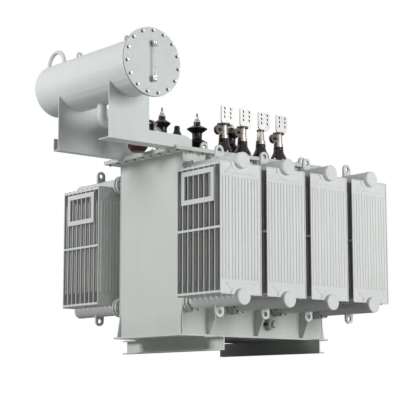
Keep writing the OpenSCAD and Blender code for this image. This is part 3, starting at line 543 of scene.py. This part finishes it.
def ringOf(centre, axis, radius, count, first=0.0):
    # points round an axis, radius in mm
    aim = up.rotation_difference(axis).to_matrix()
    angles = [first + 2 * pi * k / count for k in range(count)]
    return [centre + aim @ (Vector((cos(a), sin(a), 0)) * radius * mm) for a in angles]


coverBolts = {"width": 12, "seed": 3, "edge": 30, "countX": 14, "countY": 9, "clear": 16, "rim": 12}


def boltCover():
    low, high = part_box("tank_cover")
    edge = coverBolts["edge"] * mm
    feet = [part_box(node) for node in ("near_bracket", "far_bracket")]
    spots = []
    for k in range(coverBolts["countX"]):
        x = low.x + edge + (high.x - low.x - 2 * edge) * k / (coverBolts["countX"] - 1)
        spots += [(x, low.y + edge), (x, high.y - edge)]
    for k in range(1, coverBolts["countY"] - 1):
        y = low.y + edge + (high.y - low.y - 2 * edge) * k / (coverBolts["countY"] - 1)
        spots += [(low.x + edge, y), (high.x - edge, y)]
    clear = coverBolts["clear"] * mm
    places = []
    for x, y in spots:
        covered = any(x < foot[1].x + clear and foot[0].y - clear < y < foot[1].y + clear for foot in feet)
        if not covered:
            places.append((Vector((x, y, high.z)), up))
        places.append((Vector((x, y, low.z - coverBolts["rim"] * mm)), down))
    setBolts("coverBolts", places, coverBolts, "tank_paint")


conservatorBolts = {"width": 13.5, "seed": 5, "circle": 187, "count": 15, "flange": 10}


def boltConservator():
    middle, low, high = middleOf("conservator_cover")
    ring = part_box("conservator_shell")[0].y + conservatorBolts["flange"] * mm
    places = []
    for spot in ringOf(middle, near, conservatorBolts["circle"], conservatorBolts["count"], pi / 2):
        places.append((Vector((spot.x, low.y, spot.z)), near))
        places.append((Vector((spot.x, ring, spot.z)), far))
    setBolts("conservatorBolts", places, conservatorBolts, "conservator_paint")


pipeBolts = {"width": 14, "seed": 7, "circle": 48, "count": 4, "flange": 12}


def boltPipe():
    relayLow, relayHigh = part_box("gas_relay")
    pipe = middleOf("oil_pipe")[0]
    elbowLow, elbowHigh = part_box("relay_elbow")
    axisPoint = Vector((0, pipe.y, elbowHigh.z - elbowFlange * mm))
    thick = pipeBolts["flange"] * mm
    places = []
    for joint in (relayLow.x, relayHigh.x):
        for spot in ringOf(axisPoint, right, pipeBolts["circle"], pipeBolts["count"], pi / 4):
            places.append((Vector((joint - thick, spot.y, spot.z)), left))
            places.append((Vector((joint + thick, spot.y, spot.z)), right))
    foot = Vector((elbowHigh.x - elbowFlange * mm, pipe.y, elbowLow.z + thick))
    places += [(spot, up) for spot in ringOf(foot, up, pipeBolts["circle"], pipeBolts["count"], pi / 4)]
    setBolts("pipeBolts", places, pipeBolts, "tank_paint")


valveBolts = {"width": 10, "seed": 11, "circle": 56, "count": 8, "stub": 22, "length": 66}


def boltValves():
    places = []
    for node in radiators:
        middle = middleOf(node)[0]
        out = near if middle.y < 0 else far
        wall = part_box("near_ribs")[1].y if middle.y < 0 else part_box("far_ribs")[0].y
        for height in headerHeights:
            centre = Vector((middle.x, wall, height * mm))
            for spot in ringOf(centre, out, valveBolts["circle"], valveBolts["count"], pi / 8):
                places.append((spot + out * valveBolts["stub"] * mm, -out))
                places.append((spot + out * valveBolts["length"] * mm, out))
    setBolts("valveBolts", places, valveBolts, "tank_paint")


footBolts = {"width": 17, "seed": 13, "fromEnd": (40, 105), "plate": 6}


def boltFeet():
    places = []
    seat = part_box("tank_cover")[1].z + footBolts["plate"] * mm
    for node in ("near_bracket", "far_bracket"):
        middle, low, high = middleOf(node)
        for reach in footBolts["fromEnd"]:
            places.append((Vector((high.x - reach * mm, middle.y, seat)), up))
    setBolts("footBolts", places, footBolts, "conservator_paint")


relayBolts = {"width": 9, "seed": 17, "circle": 63, "count": 8, "cock": 30}


def boltRelay():
    middle, low, high = middleOf("gas_relay")
    lid = Vector((middle.x, middle.y, high.z - relayBolts["cock"] * mm))
    places = [(spot, up) for spot in ringOf(lid, up, relayBolts["circle"], relayBolts["count"], pi / 8)]
    setBolts("relayBolts", places, relayBolts, "relay_paint")


# the third clamp, on the neutral, has no ear
clampBolts = {
    "width": 17, "seed": 19, "clamps": (1, 2, 4), "fromAxis": 42, "halfEar": 13, "height": 32, "collar": 22,
}


def boltClamps():
    places = []
    for index in clampBolts["clamps"]:
        middle, low, high = middleOf(f"lv_insulator_{index}")
        foot = high.z + clampBolts["collar"] * mm
        spot = Vector((middle.x - clampBolts["fromAxis"] * mm, middle.y, foot + clampBolts["height"] * mm))
        reach = clampBolts["halfEar"] * mm
        places += [(spot + near * reach, near), (spot + far * reach, far)]
    # painted shade: the ears' bolts take the ear's darker finish
    setBolts("clampBolts", places, clampBolts, "terminal_metal", "seat")


boltCover()
boltConservator()
boltPipe()
boltValves()
boltFeet()
boltRelay()
boltClamps()
print("bolts set")


# weld beads that follow the joints of the tank and the radiators

def makeBeadTree():
    tree, given, out = newGroup(
        "weldBead", "GeometryNodeTree",
        [("Geometry", "NodeSocketGeometry"), ("Bead Width", "NodeSocketFloat"), ("Step", "NodeSocketFloat"),
         ("Ripple", "NodeSocketFloat"), ("Paint", "NodeSocketMaterial")],
        [("Geometry", "NodeSocketGeometry")])
    line = addNode(tree, "GeometryNodeMeshToCurve", {"Mesh": given.outputs["Geometry"]}).outputs[0]
    fine = addNode(tree, "GeometryNodeResampleCurve",
                   {"Curve": line, "Length": given.outputs["Step"]}, mode="LENGTH").outputs[0]
    noise = addNode(tree, "ShaderNodeTexNoise", {"Scale": 90.0, "Detail": 1.0}).outputs["Color"]
    spot = addNode(tree, "ShaderNodeVectorMath", {0: noise, 1: (0.5, 0.5, 0.5)}, operation="SUBTRACT")
    push = scaled(tree, spot.outputs[0], given.outputs["Ripple"])
    wavy = addNode(tree, "GeometryNodeSetPosition", {"Geometry": fine, "Offset": push}).outputs[0]
    radius = maths(tree, "MULTIPLY", given.outputs["Bead Width"], 0.5)
    ring = addNode(tree, "GeometryNodeCurvePrimitiveCircle", {"Resolution": 6, "Radius": radius}).outputs[0]
    tube = addNode(tree, "GeometryNodeCurveToMesh", {"Curve": wavy, "Profile Curve": ring, "Fill Caps": True})
    smooth = addNode(tree, "GeometryNodeSetShadeSmooth", {"Geometry": tube.outputs[0]}).outputs[0]
    solid = addNode(tree, "GeometryNodeRealizeInstances", {0: smooth}).outputs[0]
    coated = addNode(tree, "GeometryNodeSetMaterial", {"Geometry": solid, "Material": given.outputs["Paint"]})
    tree.links.new(coated.outputs[0], out.inputs["Geometry"])
    return tree


beadTree = makeBeadTree()
# unevenness of every bead in mm
beadRipple = 0.9


def layBeads(name, lines, given, slotName, finishName):
    points, edges = [], []
    for line in lines:
        start = len(points)
        points += line
        edges += [(start + k, start + k + 1) for k in range(len(line) - 1)]
    mesh = bpy.data.meshes.new(name + "Lines")
    mesh.from_pydata(points, edges, [])
    values = {"Bead Width": given["width"] * mm, "Step": given["step"] * mm, "Ripple": beadRipple * mm,
              "Paint": finishes[finishName]}
    baked = bakedMesh(name, mesh, lambda maker: setTreeInputs(maker, beadTree, values))
    keepPiece(name, baked, None, slotName)


tankBeads = {"width": 7, "step": 7, "rim": 12, "wall": 6, "rib": 10}


def weldTank():
    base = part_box("base_plate")[1].z
    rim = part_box("near_wall")[1].z - tankBeads["rim"] * mm
    side, end = -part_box("near_ribs")[1].y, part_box("right_wall")[0].x + tankBeads["wall"] * mm
    rib, halfRib = tankBeads["rib"] * mm, tankBeads["rib"] / 2 * mm
    lines = []
    for z in (base, rim):
        corners = [(-end, -side), (end, -side), (end, side), (-end, side), (-end, -side)]
        lines.append([(x, y, z) for x, y in corners])
    for x in (-end, end):
        for y in (-side, side):
            lines.append([(x, y, base), (x, y, rim)])
    for node, y in (("near_ribs", -side), ("far_ribs", side)):
        low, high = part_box(node)
        for x in (low.x, low.x + rib, -halfRib, halfRib, high.x - rib, high.x):
            lines.append([(x, y, base), (x, y, rim)])
    layBeads("tankBeads", lines, tankBeads, "tank_paint", "tank")


headerBeads = {"width": 5, "step": 7, "radius": 48, "fromTip": 30, "points": 40}


def weldHeaders():
    lines = []
    for node in radiators:
        middle, low, high = middleOf(node)
        out = near if middle.y < 0 else far
        tip = low.y if middle.y < 0 else high.y
        for height in headerHeights:
            centre = Vector((middle.x, tip, height * mm)) - out * headerBeads["fromTip"] * mm
            loop = ringOf(centre, out, headerBeads["radius"], headerBeads["points"])
            lines.append([tuple(spot) for spot in loop + loop[:1]])
    layBeads("headerBeads", lines, headerBeads, "radiator_paint", "radiator")


# the panels reach from one header to the other, short of the header's middle by the inset
panelSeams = {"width": 8.5, "step": 40, "count": 9, "pitch": 50, "fromTip": 30, "half": 155, "inset": 15}


def seamPanels():
    # the rolled and welded edges where the two sheets of a panel meet
    lines = []
    half, inset = panelSeams["half"] * mm, panelSeams["inset"]
    foot, top = (headerHeights[0] + inset) * mm, (headerHeights[1] - inset) * mm
    for node in radiators:
        middle, low, high = middleOf(node)
        tip, inward = (low.y, 1) if middle.y < 0 else (high.y, -1)
        for k in range(panelSeams["count"]):
            y = tip + inward * (panelSeams["fromTip"] + k * panelSeams["pitch"]) * mm
            for side in (-half, half):
                lines.append([(middle.x + side, y, foot), (middle.x + side, y, top)])
            for z in (foot, top):
                lines.append([(middle.x - half, y, z), (middle.x + half, y, z)])
    layBeads("panelSeams", lines, panelSeams, "radiator_paint", "radiator")


weldTank()
weldHeaders()
seamPanels()
print("welds laid")


# high-voltage bushings; in each piece "smooth" is the angle in degrees under which its faces are shaded as one

hvPorcelain = {
    "body": 34, "neck": 23.5, "sheds": {1: 58, 2: 70, 3: 70}, "foot": 58, "footHeight": 36, "height": 326,
    "rims": (88, 184, 280), "rise": 27, "under": 28, "lip": 5, "smooth": 60,
}


def makeHighVoltagePorcelain(index):
    node = f"hv_insulator_{index}"
    middle, low, high = middleOf(node)
    given = hvPorcelain
    shed = given["sheds"][index]
    path = [(0, 0, 0), (given["foot"], 0, 2), (given["foot"], given["footHeight"] / 2, 4),
            (given["body"], given["footHeight"], 7)]
    for number, rim in enumerate(given["rims"]):
        above = given["neck"] if number == len(given["rims"]) - 1 else given["body"]
        path += [(given["body"], rim - given["under"], 7), (shed, rim - given["lip"] / 2, 2.2),
                 (shed, rim + given["lip"] / 2, 2.2), (above, rim + given["rise"], 8)]
    path += [(given["neck"], given["height"], 1.5), (0, given["height"], 0)]
    shape = bmesh.new()
    turn(shape, path, Vector((middle.x, middle.y, low.z)))
    mesh = shapeMesh(node, shape, given["smooth"])
    keepPiece(f"hvPorcelain{index}", mesh, "porcelain", "porcelain", node)


hvTerminal = {
    "capFoot": 23.5, "capEdge": 5, "capTop": 15, "cap": 20, "nut": 24, "nutHeight": 17, "nutChamfer": 2,
    "nutEnd": 0.9, "nutSide": 1.08, "stud": 6, "studHeight": 26, "pitch": 2, "thread": 0.9, "studEnd": 1.2,
    "smooth": 30,
}


def makeHighVoltageTerminals():
    shape = bmesh.new()
    given = hvTerminal
    for index in (1, 2, 3):
        middle, low, high = middleOf(f"hv_insulator_{index}")
        base = Vector((middle.x, middle.y, high.z))
        turn(shape, [(0, 0, 0), (given["capFoot"], 0, 1), (given["capFoot"], given["capEdge"], 1.5),
                     (given["capTop"], given["cap"], 2), (0, given["cap"], 0)], base, sides=32)
        nutBase = base + up * given["cap"] * mm
        height, chamfer = given["nutHeight"], given["nutChamfer"]
        nutEnd, nutSide = (given["nut"] / 2 * given[key] for key in ("nutEnd", "nutSide"))
        turn(shape, [(0, 0, 0), (nutEnd, 0, 0), (nutSide, chamfer, 0), (nutSide, height - chamfer, 0),
                     (nutEnd, height, 0), (0, height, 0)], nutBase, sides=6)
        thread = [(0, 0, 0)]
        turns = int(given["studHeight"] / given["pitch"]) - 1
        for k in range(turns):
            root = given["stud"] - given["thread"]
            thread += [(root, k * given["pitch"], 0), (given["stud"], (k + 0.5) * given["pitch"], 0)]
        thread += [(given["stud"] - given["studEnd"], given["studHeight"], 0), (0, given["studHeight"], 0)]
        turn(shape, thread, nutBase + up * height * mm, sides=16)
    mesh = shapeMesh("hvTerminals", shape, given["smooth"])
    keepPiece("hvTerminals", mesh, "clamp", "terminal_metal", "hv_terminals")


for bushing in (1, 2, 3):
    makeHighVoltagePorcelain(bushing)
makeHighVoltageTerminals()
print("high-voltage bushings made")


# low-voltage bushings

lvPorcelain = {"foot": 56, "rim": 52, "neck": 33, "flare": 42, "height": 128, "smooth": 60}


def makeLowVoltagePorcelain(index):
    node = f"lv_insulator_{index}"
    middle, low, high = middleOf(node)
    given = lvPorcelain
    path = [(0, 0, 0), (given["foot"], 0, 2), (given["foot"], given["rim"], 9),
            (given["neck"], given["rim"] + given["flare"], 16), (given["neck"], given["height"], 1.5),
            (0, given["height"], 0)]
    shape = bmesh.new()
    turn(shape, path, Vector((middle.x, middle.y, low.z)))
    mesh = shapeMesh(node, shape, given["smooth"])
    keepPiece(f"lvPorcelain{index}", mesh, "porcelain", "porcelain", node)


for bushing in (1, 2, 3, 4):
    makeLowVoltagePorcelain(bushing)
print("low-voltage bushings made")


# tap changer, level gauge and the gasket of the conservator's cover, whose dark band is also painted shade

tapChanger = {
    "foot": 42, "footHeight": 14, "column": 23, "skirt": 32, "flare": 26, "head": 19, "headHeight": 34,
    "height": 228, "smooth": 50,
}


def makeTapChanger():
    middle, low, high = middleOf("tap_changer")
    given = tapChanger
    skirtFoot = given["height"] - given["headHeight"] - given["flare"]
    path = [(0, 0, 0), (given["foot"], 0, 1.5), (given["foot"], given["footHeight"], 3),
            (given["column"], given["footHeight"], 4), (given["column"], skirtFoot, 1),
            (given["skirt"], skirtFoot, 3), (given["head"], skirtFoot + given["flare"], 9),
            (given["head"], given["height"], 17), (0, given["height"], 0)]
    shape = bmesh.new()
    turn(shape, path, Vector((middle.x, middle.y, low.z)))
    mesh = shapeMesh("tapChanger", shape, given["smooth"])
    keepPiece("tapChanger", mesh, "black", "black_cap", "tap_changer")


# the fittings' radius, the tube, and turned outlines of a fitting's body, its nut and its stub into the cover
levelGauge = {
    "fitting": 14, "tube": 8, "tubeInset": 16, "sides": 24, "smooth": 40,
    "body": [(0, -14, 0), (9, -14, 2), (14, -8, 3), (14, 10, 2), (0, 10, 0)],
    "nut": [(0, 10, 0), (12, 10, 0), (14, 12, 0), (14, 20, 0), (12, 22, 0), (0, 22, 0)],
    "stub": [(0, 0, 0), (9, 0, 0), (9, 12, 0), (14, 12, 1), (14, 22, 1), (9, 22, 0), (9, 24, 0), (0, 24, 0)],
}


def makeLevelGauge():
    middle, low, high = middleOf("oil_gauge")
    given = levelGauge
    axisY = low.y + given["fitting"] * mm
    foot, tip = low.z + given["fitting"] * mm, high.z - given["fitting"] * mm
    length = (tip - foot) / mm
    fittings = bmesh.new()
    for z, inward in ((foot, up), (tip, down)):
        centre = Vector((middle.x, axisY, z))
        turn(fittings, given["body"], centre, inward, given["sides"])
        turn(fittings, given["nut"], centre, inward, sides=6)
        turn(fittings, given["stub"], centre, far, given["sides"])
    mesh = shapeMesh("gaugeFittings", fittings, given["smooth"])
    keepPiece("gaugeFittings", mesh, "gauge", "gauge_metal", "oil_gauge")
    tube = bmesh.new()
    radius, start, end = given["tube"], given["tubeInset"], length - given["tubeInset"]
    turn(tube, [(0, start, 0), (radius, start, 0), (radius, end, 0), (0, end, 0)],
         Vector((middle.x, axisY, foot)), up, given["sides"])
    keepPiece("gaugeTube", shapeMesh("gaugeTube", tube, given["smooth"]), "gaugeGlass", "gauge_metal")


coverGasketShade = {"radius": 206.8, "inner": 190, "width": 5, "edge": 1.2, "sides": 96, "smooth": 40}


def makeCoverGasketShade():
    # the gasket squeezed out between the conservator's flange and its cover; it is made wide and dark so that
    # it also paints the shade along the cover's edge, partly painted shade
    middle, low, high = middleOf("conservator_cover")
    given = coverGasketShade
    outer, inner, width, edge = (given[key] for key in ("radius", "inner", "width", "edge"))
    shape = bmesh.new()
    turn(shape, [(inner, 0, 0), (outer, 0, edge), (outer, width, edge), (inner, width, 0), (inner, 0, 0)],
         Vector((middle.x, high.y - width / 2 * mm, middle.z)), far, given["sides"])
    bmesh.ops.remove_doubles(shape, verts=shape.verts, dist=softening["merge"] * mm)
    keepPiece("coverGasketShade", shapeMesh("coverGasketShade", shape, given["smooth"]), "gasket", "black_cap")


makeTapChanger()
makeLevelGauge()
makeCoverGasketShade()


# drain valve's hand knob on its stem

drainKnob = {"fromWall": 30, "stem": 5, "stemLength": 42, "knob": 11, "thick": 12, "sides": 20, "smooth": 40}


def makeDrainKnob():
    middle, low, high = middleOf("drain_valve")
    given = drainKnob
    base = Vector((middle.x, high.y - given["fromWall"] * mm, middle.z))
    shape = bmesh.new()
    stem, length, knob = given["stem"], given["stemLength"], given["knob"]
    end = length + given["thick"]
    turn(shape, [(0, 0, 0), (stem, 0, 0), (stem, length, 0), (knob, length, 3), (knob, end, 3), (0, end, 0)],
         base, left, given["sides"])
    keepPiece("drainKnob", shapeMesh("drainKnob", shape, given["smooth"]), "black", "black_cap")


makeDrainKnob()
print("fittings made")


# camera, light and floor

studio = {
    "place": (-5.6142, -6.6758, -0.3007),
    "yaw": 39.118,            # degrees from +Y towards +X
    "pitch": 8.526,           # degrees up
    "sensor": 36.0,
    "lens": 120.50,
    "floorSide": 30.0,
    "floorDrop": 0.0005,
    "floorColour": (0.50, 0.50, 0.49, 1),
    "floorRoughness": 0.9,
    "ambient": 0.09,
    # place in metres, size in metres and power in watts of each lamp
    "key": ((1.9, -7.9, 1.3), 4.4, 560.0),
    "fill": ((-7.6, 1.2, 4.2), 4.6, 475.0),
    "aim": (0.0, 0.0, 0.9),
}


def setCamera():
    yaw, pitch = radians(studio["yaw"]), radians(studio["pitch"])
    forward = Vector((sin(yaw) * cos(pitch), cos(yaw) * cos(pitch), sin(pitch)))
    data = bpy.data.cameras.new("photoView")
    data.sensor_width = studio["sensor"]
    data.lens = studio["lens"]
    camera = bpy.data.objects.new("photoView", data)
    camera.location = studio["place"]
    camera.rotation_euler = forward.to_track_quat("-Z", "Y").to_euler()
    scene.collection.objects.link(camera)
    scene.camera = camera


def addLamp(name, place, size, power):
    data = bpy.data.lights.new(name, "AREA")
    data.shape = "DISK"
    data.size = size
    data.energy = power
    lamp = bpy.data.objects.new(name, data)
    lamp.location = place
    lamp.rotation_euler = (Vector(studio["aim"]) - Vector(place)).to_track_quat("-Z", "Y").to_euler()
    scene.collection.objects.link(lamp)


def setWorld():
    world = bpy.data.worlds.new("whiteStudio")
    scene.world = world
    world.use_nodes = True
    tree = world.node_tree
    rays = addNode(tree, "ShaderNodeLightPath")
    seen = maths(tree, "MAXIMUM", rays.outputs["Is Camera Ray"],
                 maths(tree, "MAXIMUM", rays.outputs["Is Glossy Ray"], rays.outputs["Is Transmission Ray"]))
    sky = tree.nodes["Background"]
    sky.inputs["Color"].default_value = (1, 1, 1, 1)
    tree.links.new(spread(tree, seen, studio["ambient"], 1.0, 0.0, 1.0), sky.inputs["Strength"])


def setFloor():
    half = studio["floorSide"] / 2
    mesh = bpy.data.meshes.new("paleFloor")
    corners = [(-half, -half, 0), (half, -half, 0), (half, half, 0), (-half, half, 0)]
    mesh.from_pydata(corners, [], [(0, 1, 2, 3)])
    floor = bpy.data.objects.new("paleFloor", mesh)
    floor.location.z = -studio["floorDrop"]
    scene.collection.objects.link(floor)
    finish = bpy.data.materials.new("paleFloor")
    finish.use_nodes = True
    tree = finish.node_tree
    shader = tree.nodes["Principled BSDF"]
    shader.inputs["Base Color"].default_value = studio["floorColour"]
    shader.inputs["Roughness"].default_value = studio["floorRoughness"]
    rays = addNode(tree, "ShaderNodeLightPath")
    side = addNode(tree, "ShaderNodeNewGeometry")
    hidden = maths(tree, "MULTIPLY", rays.outputs["Is Camera Ray"], side.outputs["Backfacing"])
    clear = addNode(tree, "ShaderNodeBsdfTransparent")
    mix = addNode(tree, "ShaderNodeMixShader", {0: hidden, 1: shader.outputs[0], 2: clear.outputs[0]})
    tree.links.new(mix.outputs[0], tree.nodes["Material Output"].inputs["Surface"])
    mesh.materials.append(finish)


setCamera()
for lampName in ("key", "fill"):
    addLamp(lampName + "Lamp", *studio[lampName])
setWorld()
setFloor()
dressNodes()
print("studio and finishes ready")
